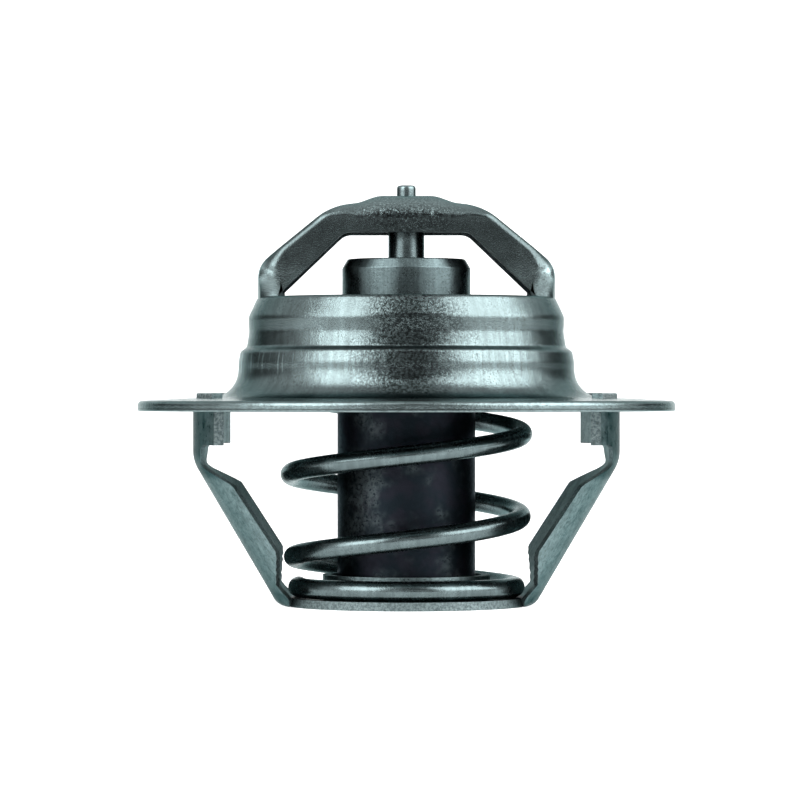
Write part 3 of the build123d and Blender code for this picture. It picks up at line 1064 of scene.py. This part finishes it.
@dataclass
class Bracket:
    """The lower bracket: a drawn cup whose windows leave two arms.

    Lines are corners of (radius, height), and the window's are (distance from the middle,
    height). The torn edge is a wave, given by its depth, its turns and the heights that it
    runs between. The tabs are the two angles between which each stands, in degrees.
    """

    sheet: float = 0.8
    line: Corners = ((7.0, -15.2), (7.0, -18.1), (11.93, -18.1), (19.85, -4.6), (19.85, 0.0))
    bends: tuple[float, ...] = (1.3, 1.4, 3.5)
    foot_half: float = 9.2
    foot_low: float = -3.1
    window: Corners = (
        (16.4, -3.1), (18.55, -3.1), (18.75, -5.0), (15.6, -6.75), (11.6, -12.9),
        (11.72, -16.0), (10.5, -17.3),
    )
    window_bends: tuple[float, ...] = (0.4, 0.9, 0.35, 0.8, 0.5)
    cut_lean: float = 0.3
    torn_depth: float = 0.05
    torn_turns: float = 9.0
    torn_heights: Span = (-12.5, -16.6)
    torn_fade: float = 0.5
    arm_columns: int = 49
    base_edge: float = 11.1
    tabs: Span = (15.0, 27.0)
    tab_low: float = 1.1
    tab_top: float = 1.68
    tab_spread: float = 0.15
    tab_widening: float = 0.004
    tab_bends: tuple[float, ...] = (0.02, 0.02, 0.16, 0.16)

    def lines(self, line: np.ndarray, run_points: int) -> tuple[np.ndarray, np.ndarray]:
        """Round a line, and the line one sheet inside it.

        Args:
            line: corners of (radius, height), from the collar outwards.
            run_points: samples inside each straight run.

        Returns:
            The outer and the inner skin's line, point by point beside each other.
        """
        bends = self.bends[: len(line) - 2]
        outer = rounded_line(line, bends, arc_points=16, run_points=run_points)
        within = inner_bends(line, bends, -self.sheet)
        inner = rounded_line(
            beside(line, -self.sheet), within, arc_points=16, run_points=run_points
        )
        return outer, inner

    def half_angle(self, line: np.ndarray, lean: float) -> np.ndarray:
        """Work out half the angle that an arm spans below its foot.

        The skin ends where its radius times the cosine of the angle equals the window's edge at
        its height, plus the lean of the cut. A small even wave stands for the torn edge above the
        base.

        Args:
            line: one skin's rows of (radius, height).
            lean: how far the cut leans at this skin.

        Returns:
            One angle for each row.
        """
        radius, height = line.T
        edge = rounded_line(np.array(self.window), self.window_bends, arc_points=12, run_points=20)
        reach = np.interp(-height, -edge[:, 1], edge[:, 0])
        top, foot = self.torn_heights
        torn = self.torn_depth * np.sin(height * self.torn_turns)
        torn *= np.clip((top - height) / self.torn_fade, 0, 1)
        torn *= np.clip((height - foot) / self.torn_fade, 0, 1)
        return np.arccos(np.clip((reach + lean + torn) / radius, 0.05, 0.999))

    def arm_rows(self) -> list[tuple[np.ndarray, np.ndarray]]:
        """Work out the rows of an arm's two skins.

        The foot is cut flat, at a fixed distance to each side, so there the sine of the angle is
        that distance over the line's radius.

        Returns:
            The line of each skin, outer first, with its half angle on each row.
        """
        outer, inner = self.lines(np.array(self.line), 40)
        keep = outer[:, 0] > self.base_edge + 0.02
        split = int(np.argmax(outer[keep, 1] > self.foot_low)) + 1
        low = self.line[1][1]
        rows = []
        for line, start, lean in ((outer, low, self.cut_lean), (inner, low + self.sheet, 0.0)):
            line = np.vstack([[(self.base_edge, start)], line[keep]])
            level = np.array([[line[split, 0], self.foot_low]])
            arm = self.half_angle(np.vstack([line[:split], level - (0.0, 1e-3)]), lean)
            foot = np.vstack([level, line[split:]])
            spans = np.concatenate([arm, np.arcsin(self.foot_half / foot[:, 0])])
            rows.append((np.vstack([line[:split], level, foot]), spans))
        return rows

    def arm_sheets(self, side: float) -> list[Sheet]:
        """Carry an arm's rows round the axis within their half angles, and close the cut edges.

        Point (i, j) lies at radius_i and height_i, at the share_j of the half angle_i.

        Args:
            side: 1 for the right arm, -1 for the left.

        Returns:
            Both skins and the four edges.
        """
        share = np.linspace(-1, 1, self.arm_columns)
        front, back = (
            polar(line[:, 0][:, None], half[:, None] * share, line[:, 1][:, None]) * (side, 1, 1)
            for line, half in self.arm_rows()
        )
        return [
            Sheet(front),
            Sheet(back, finish=2),
            strip(front[:, 0], back[:, 0], 1),
            strip(front[:, -1], back[:, -1], 1),
            strip(front[-1], back[-1], 1),
            strip(front[0], back[0]),
        ]

    def base_sheets(self) -> list[Sheet]:
        """Revolve the collar and the flat base out to its sheared edge.

        Returns:
            Both skins and the two edges.
        """
        collar, base = self.line[:2]
        outer, inner = self.lines(np.array([collar, base, (self.base_edge, base[1])]), 12)
        edges = [np.vstack([outer[end], inner[end]]) for end in (0, -1)]
        return [
            revolve(outer, closed=False),
            revolve(inner, closed=False),
            *(revolve(edge, closed=False, finish=1) for edge in edges),
        ]

    def tab_sheets(self) -> list[Sheet]:
        """Make the staked tabs: ring sectors with a slightly spread, domed head.

        The section is carried round the axis between the tab's angles, and mirrored in x and y.

        Returns:
            The side and the two ends of each tab.
        """
        sheets = []
        start, end = np.radians(self.tabs)
        angle = np.linspace(start - self.tab_widening, end + self.tab_widening, 24)
        outer = self.line[-1][0] + self.tab_spread
        inner = outer - self.sheet - 2 * self.tab_spread
        low, top = self.tab_low, self.tab_top
        section = np.array([(inner, low), (outer, low), (outer, top), (inner, top)])
        ring = rounded_line(section, self.tab_bends, closed=True, arc_points=5, run_points=4)
        sector = polar(ring[:, 0], angle[:, None], ring[:, 1])
        for turn, mirror in ((1, 1), (1, -1), (-1, 1), (-1, -1)):
            points = sector * (turn, mirror, 1)
            sheets += [Sheet(points, columns_meet=True, finish=3), fan(points[0]), fan(points[-1])]
        return sheets

    def build(self) -> None:
        """Make the bracket and give it its finishes."""
        arms = self.arm_sheets(1.0) + self.arm_sheets(-1.0)
        sheets = self.base_sheets() + arms + self.tab_sheets()
        piece = make_piece("bracket", sheets, Body.HOUSING, "lower_bracket")
        steel = ZincSteel(
            "bracket_steel", (0.112, 0.148, 0.151), (0.26, 0.42),
            spread=0.4, stain=0.6, ring_depth=0.002, grain_depth=0.03,
            grain_scale=6.0, patch_scale=1.3, edge=0.3,
        )
        cut = TornSteel("bracket_cut", (0.08, 0.104, 0.107, 1), (0.18, 0.228, 0.232, 1))
        # painted light: the arms' inner skin is paler than the outer steel, standing in for light
        # that its dark surroundings don't give it
        inner = Steel(
            "bracket_inner_painted_light", (0.25, 0.32, 0.326), (0.45, 0.6),
            spread=0.3, streak_depth=0.002, ring_depth=0.002, grain_depth=0.03,
            grain_scale=6.0, patch_scale=1.3,
        )
        staked = TornSteel("tab_head", (0.12, 0.15, 0.155, 1), (0.4, 0.46, 0.465, 1))
        dress(piece, "bracket_steel", steel, cut, inner, staked)


@dataclass
class Capsule:
    """The wax capsule, its guide collar, and what they hold.

    Sections are closed lines of corners, each with its radius, height and bend radius.
    """

    cup: Corners = (
        (0, -17.6, 0), (6.42, -17.6, 1.2), (6.42, 6.15, 0.2), (8.2, 6.15, 0.5),
        (8.2, 9.25, 0.6), (6.25, 9.25, 0.2), (6.25, 8.6, 0.1), (7.55, 8.6, 0.1),
        (7.55, 6.8, 0.1), (5.77, 6.8, 0.1), (5.77, -16.95, 0.6), (0, -16.95, 0),
    )
    collar: Corners = (
        (1.725, 8.41, 0.05), (3.3, 8.41, 0.05), (3.3, 7.6, 0.05), (7.5, 7.6, 0.1),
        (7.5, 8.6, 0.1), (5.97, 8.6, 0.05), (5.97, 13.25, 0.2), (5.46, 14.12, 0.2),
        (1.725, 14.12, 0.15),
    )

    def build(self) -> None:
        """Make the cup and the collar, and dress the pieces inside them."""
        cup = turned_piece("capsule", self.cup, Body.VALVE, "capsule_cup")
        dress(cup, "capsule_steel", Blackened("capsule_steel"))
        collar = turned_piece("guide", self.collar, Body.VALVE, "guide_collar")
        steel = Steel(
            "guide_steel", (0.086, 0.116, 0.12), (0.24, 0.36), spread=0.25, stain=0.6,
            streak_depth=0.002, ring_depth=0.008, grain_depth=0.012, grain_scale=6.0,
        )
        dress(collar, "guide_steel", steel)
        fillings = {
            "backing_washer": Filled("washer_plastic", (0.72, 0.7, 0.64, 1), (0.6, 0.58, 0.52, 1)),
            "rubber_boot": Rubber("boot_rubber"),
            "wax_charge": Filled("copper_wax", (0.36, 0.24, 0.14, 1), (0.65, 0.33, 0.16, 1)),
        }
        for node, filling in fillings.items():
            dress(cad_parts[node], "", filling)


@dataclass
class Valve:
    """The valve disc with its rubber seal, in sections like the capsule's."""

    disc: Corners = (
        (6.47, 5.35, 0.05), (9.4, 5.35, 0.9), (9.4, 7.32, 0.3), (12.9, 7.32, 0.1),
        (12.9, 8.12, 0.1), (8.6, 8.12, 0.6), (8.6, 6.15, 0.4), (6.47, 6.15, 0.05),
    )
    seal: Corners = (
        (10.2, 8.12, 0.05), (12.8, 8.12, 0.05), (12.8, 9.32, 0.4), (10.2, 9.32, 0.4),
    )

    def build(self) -> None:
        """Make the disc and the seal."""
        disc = turned_piece("disc", self.disc, Body.VALVE, "valve_disc")
        steel = Steel(
            "disc_steel", (0.112, 0.15, 0.155), (0.3, 0.42), spread=0.25, stain=0.4,
            streak_depth=0.006, grain_depth=0.02,
        )
        dress(disc, "disc_steel", steel)
        seal = turned_piece("seal", self.seal, Body.VALVE, "valve_seal")
        dress(seal, "seal_rubber", Rubber("seal_rubber"))


@dataclass
class Piston:
    """The piston, which is staked into the bridge, in a section like the capsule's."""

    section: Corners = (
        (0, -6.5, 0), (1.675, -6.5, 0.3), (1.675, 18.8, 0.05), (0.88, 18.8, 0.05),
        (0.88, 21.0, 0.3), (0, 21.0, 0),
    )
    steps: int = 128

    def build(self) -> None:
        """Make the piston as a turned piece."""
        rod = turned_piece("piston_rod", self.section, Body.HOUSING, "piston", self.steps)
        steel = Steel(
            "piston_steel", (0.13, 0.17, 0.175), (0.22, 0.32), spread=0.15, stain=0.3,
            streak_depth=0.001, ring_depth=0.005, grain_depth=0.006,
        )
        dress(rod, "piston_steel", steel)


@dataclass
class Spring:
    """The main spring: flat at both ends, narrower at its foot.

    Lengths are in millimetres and to the wire's centre. The ramp, the flats and the opening are
    angles turned, in degrees.
    """

    wire: float = 0.925
    low: float = -16.345
    high: float = 6.365
    top_radius: float = 10.8
    foot_radius: float = 10.08
    pitch: float = 7.67
    ramp: float = 100.0
    flat_foot: float = 185.0
    flat_top: float = 205.0
    opening: float = 540.0
    steps: int = 1200
    wire_steps: int = 32

    def centre_line(self) -> np.ndarray:
        """Work out the wire's centre line.

        The height is flat at both ends and rises by the pitch for each turn between them, with
        the slope starting and stopping evenly over the ramp. The radius grows with the square
        root of the angle turned, up to the opening angle.

        Returns:
            Points (x, y, z) from the foot up.
        """
        slope = self.pitch / 360
        run = (self.high - self.low) / slope + self.ramp
        angle = np.linspace(-self.flat_foot, run + self.flat_top, self.steps)
        started = np.clip(angle, 0, self.ramp)
        stopped = np.clip(angle - run + self.ramp, 0, self.ramp)
        straight = np.clip(angle - self.ramp, 0, run - 2 * self.ramp)
        eased = started**2 / (2 * self.ramp) + straight + stopped - stopped**2 / (2 * self.ramp)
        opened = np.clip(angle, 0, self.opening) / self.opening
        radius = self.foot_radius + (self.top_radius - self.foot_radius) * np.sqrt(opened)
        return polar(radius, np.radians(angle), self.low + slope * eased)

    def build(self) -> None:
        """Carry the wire's circle along the centre line, square to it."""
        centre = self.centre_line()
        tangent = units(np.gradient(centre, axis=0))
        outward = units(centre * (1, 1, 0))
        outward = units(outward - (outward * tangent).sum(1)[:, None] * tangent)
        upward = np.cross(tangent, outward)
        turn = np.linspace(0, 2 * np.pi, self.wire_steps, endpoint=False)[None, :, None]
        ring = outward[:, None, :] * np.cos(turn) + upward[:, None, :] * np.sin(turn)
        points = centre[:, None, :] + self.wire * ring
        sheets = [Sheet(points, columns_meet=True), fan(points[0]), fan(points[-1])]
        piece = make_piece("coil", sheets, Body.HOUSING, "main_spring")
        steel = Steel(
            "spring_steel", (0.105, 0.137, 0.141), (0.22, 0.32),
            spread=0.22, stain=0.4, streak_depth=0.0005, ring_depth=0.0005, grain_depth=0.008,
        )
        dress(piece, "spring_steel", steel)
        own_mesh(piece)


@dataclass
class Studio:
    """The floor, the backdrop, the screens, the lamps and the camera.

    Lengths are in millimetres. The camera looks level along +Y, and the field is the width that
    it sees at the valve's axis, round the centre (x, z). Each screen and lamp is a row of what
    the method of that name takes.
    """

    distance: float = 383.0
    field: float = 74.5
    sensor: float = 36.0
    camera_x: float = -3.5
    camera_z: float = 1.84
    centre: Span = (-0.59, 1.02)
    ground: float = -18.1
    floor_front: float = -195.0
    floor_back: float = 600.0
    floor_half: float = 420.0
    floor_columns: int = 7
    floor_glow: float = 0.8
    backdrop_top: float = 150.0
    backdrop_bend: float = 60.0
    lamp_distance: float = 420.0
    screen_distance: float = 460.0
    screens: tuple = (
        ("low_screen", 3.0, 420, 120, -60.0, 0.05),
        ("high_screen", 3.0, 420, 260, 165.0, 0.05),
        ("left_screen", -118.0, 460, 200, -60.0, 0.12),
        ("right_screen", 122.0, 400, 200, -60.0, 0.12),
    )
    lamps: tuple = (
        ("left_lamp", -48.0, 33.0, 300, 400, 5.7),
        ("right_lamp", 66.0, 33.0, 500, 400, 5.3),
    )

    def matt(self, name: str, lightness: float, rough: float) -> Bench:
        """Start a matt grey material.

        Args:
            name: its name.
            lightness: its grey.
            rough: its roughness.

        Returns:
            Its node tree.
        """
        bench = Bench(name)
        inputs = bench.surface.inputs
        inputs["Base Color"].default_value = (lightness, lightness, lightness, 1)
        inputs["Roughness"].default_value = rough
        inputs["Specular IOR Level"].default_value = 0.0
        return bench

    def white(self, name: str) -> bpy.types.Material:
        """Make a pale matt surface that the camera and reflections see as white.

        Args:
            name: the material's name.

        Returns:
            The finished material.
        """
        bench = self.matt(name, 0.82, 0.9)
        rays = bench.node("ShaderNodeLightPath").outputs
        mirrored_rays = bench.math("MAXIMUM", rays["Is Transmission Ray"], rays["Is Glossy Ray"])
        seen = bench.math("MAXIMUM", rays["Is Camera Ray"], mirrored_rays)
        glow = bench.times(seen, self.floor_glow)
        bench.surface.inputs["Emission Color"].default_value = (1, 1, 1, 1)
        bench.link(glow, bench.surface.inputs["Emission Strength"])
        return bench.material

    def stage(self) -> None:
        """Lay the floor and raise the backdrop in one sweep."""
        back, top = self.floor_back, self.backdrop_top
        profile = np.array([(self.floor_front, self.ground), (back, self.ground), (back, top)])
        profile = rounded_line(profile, [self.backdrop_bend], arc_points=24, run_points=6)
        across = np.linspace(-self.floor_half, self.floor_half, self.floor_columns)
        parts = np.broadcast_arrays(across, profile[:, 0][:, None], profile[:, 1][:, None])
        sheet = Sheet(np.stack(parts, axis=-1))
        mesh = bpy.data.meshes.new("floor")
        corners = sheet.points.reshape(-1, 3) * MM
        mesh.from_pydata(corners.tolist(), [], sheet.faces(0).tolist())
        mesh.polygons.foreach_set("use_smooth", np.ones(len(mesh.polygons), bool))
        mesh.materials.append(self.white("floor_white"))
        floor = linked("floor", mesh)

    def screen(
        self, name: str, turn: float, width: float, height: float, foot: float, shade: float
    ) -> None:
        """Stand a grey screen by the valve, which the metal mirrors and the camera leaves out.

        Args:
            name: the screen's name.
            turn: its direction in degrees from the front, to the right.
            width: its width.
            height: its height.
            foot: the height of its lower edge.
            shade: the lightness of its cloth.
        """
        turn = np.radians(turn)
        way = np.array([np.sin(turn), -np.cos(turn), 0.0]) * self.screen_distance
        side = np.array([np.cos(turn), np.sin(turn), 0.0]) * width / 2
        low, high = np.array([0, 0, foot]), np.array([0, 0, foot + height])
        corners = [way - side + low, way + side + low, way + side + high, way - side + high]
        mesh = bpy.data.meshes.new(name)
        mesh.from_pydata((np.array(corners) * MM).tolist(), [], [(0, 1, 2, 3)])
        mesh.materials.append(self.matt(f"{name}_cloth", shade, 1.0).material)
        screen = linked(name, mesh)
        screen.visible_camera = False
        screen.visible_shadow = False

    def lamp(
        self, name: str, turn: float, rise: float, width: float, height: float, radiance: float
    ) -> None:
        """Hang a soft rectangular lamp that faces the valve.

        Args:
            name: the lamp's name.
            turn: its direction in degrees from the front, to the right.
            rise: its height above the horizon, in degrees.
            width: its width.
            height: its height.
            radiance: its brightness, where 1 is white. Its power is pi times area times this.
        """
        data = bpy.data.lights.new(name, "AREA")
        data.shape = "RECTANGLE"
        data.size, data.size_y = width * MM, height * MM
        data.energy = np.pi * data.size * data.size_y * radiance
        lamp = linked(name, data)
        turn, rise = np.radians(turn), np.radians(rise)
        way = Vector((np.sin(turn) * np.cos(rise), -np.cos(turn) * np.cos(rise), np.sin(rise)))
        lamp.location = way * self.lamp_distance * MM
        lamp.rotation_euler = way.to_track_quat("Z", "Y").to_euler()
        lamp.visible_camera = False

    def room(self) -> None:
        """Surround the valve with a room that looks white, and lights matt surfaces at half."""
        world = bpy.data.worlds.new("room")
        bpy.context.scene.world = world
        world.use_nodes = True
        tree = world.node_tree
        path = tree.nodes.new("ShaderNodeLightPath")
        shade = tree.nodes.new("ShaderNodeMix")
        shade.data_type = "RGBA"
        shade.inputs[6].default_value = (1, 1, 1, 1)
        shade.inputs[7].default_value = (0.5, 0.5, 0.5, 1)
        tree.links.new(path.outputs["Is Diffuse Ray"], shade.inputs[0])
        tree.links.new(shade.outputs[2], tree.nodes["Background"].inputs["Color"])

    def camera(self) -> None:
        """Place the camera level with the flange, with the frame shifted to the photograph's."""
        data = bpy.data.cameras.new("view")
        data.sensor_width = self.sensor
        data.lens = self.sensor * self.distance / self.field
        data.shift_x = (self.centre[0] - self.camera_x) / self.field
        data.shift_y = (self.centre[1] - self.camera_z) / self.field
        data.clip_start = 0.01
        camera = linked("view", data)
        camera.location = (self.camera_x * MM, -self.distance * MM, self.camera_z * MM)
        camera.rotation_euler = (np.pi / 2, 0.0, 0.0)
        bpy.context.scene.camera = camera

    def build(self) -> None:
        """Set the whole stage."""
        bpy.context.scene.view_settings.view_transform = "Standard"
        self.camera()
        self.stage()
        for screen in self.screens:
            self.screen(*screen)
        self.room()
        for lamp in self.lamps:
            self.lamp(*lamp)


def main() -> None:
    """Build every sub-assembly in order."""
    logging.basicConfig(level=logging.INFO, format="%(name)s %(message)s")
    Studio().build()
    for assembly in (Stamping(), Bracket(), Capsule(), Valve(), Piston(), Spring()):
        assembly.build()


if __name__ == "__main__":
    main()
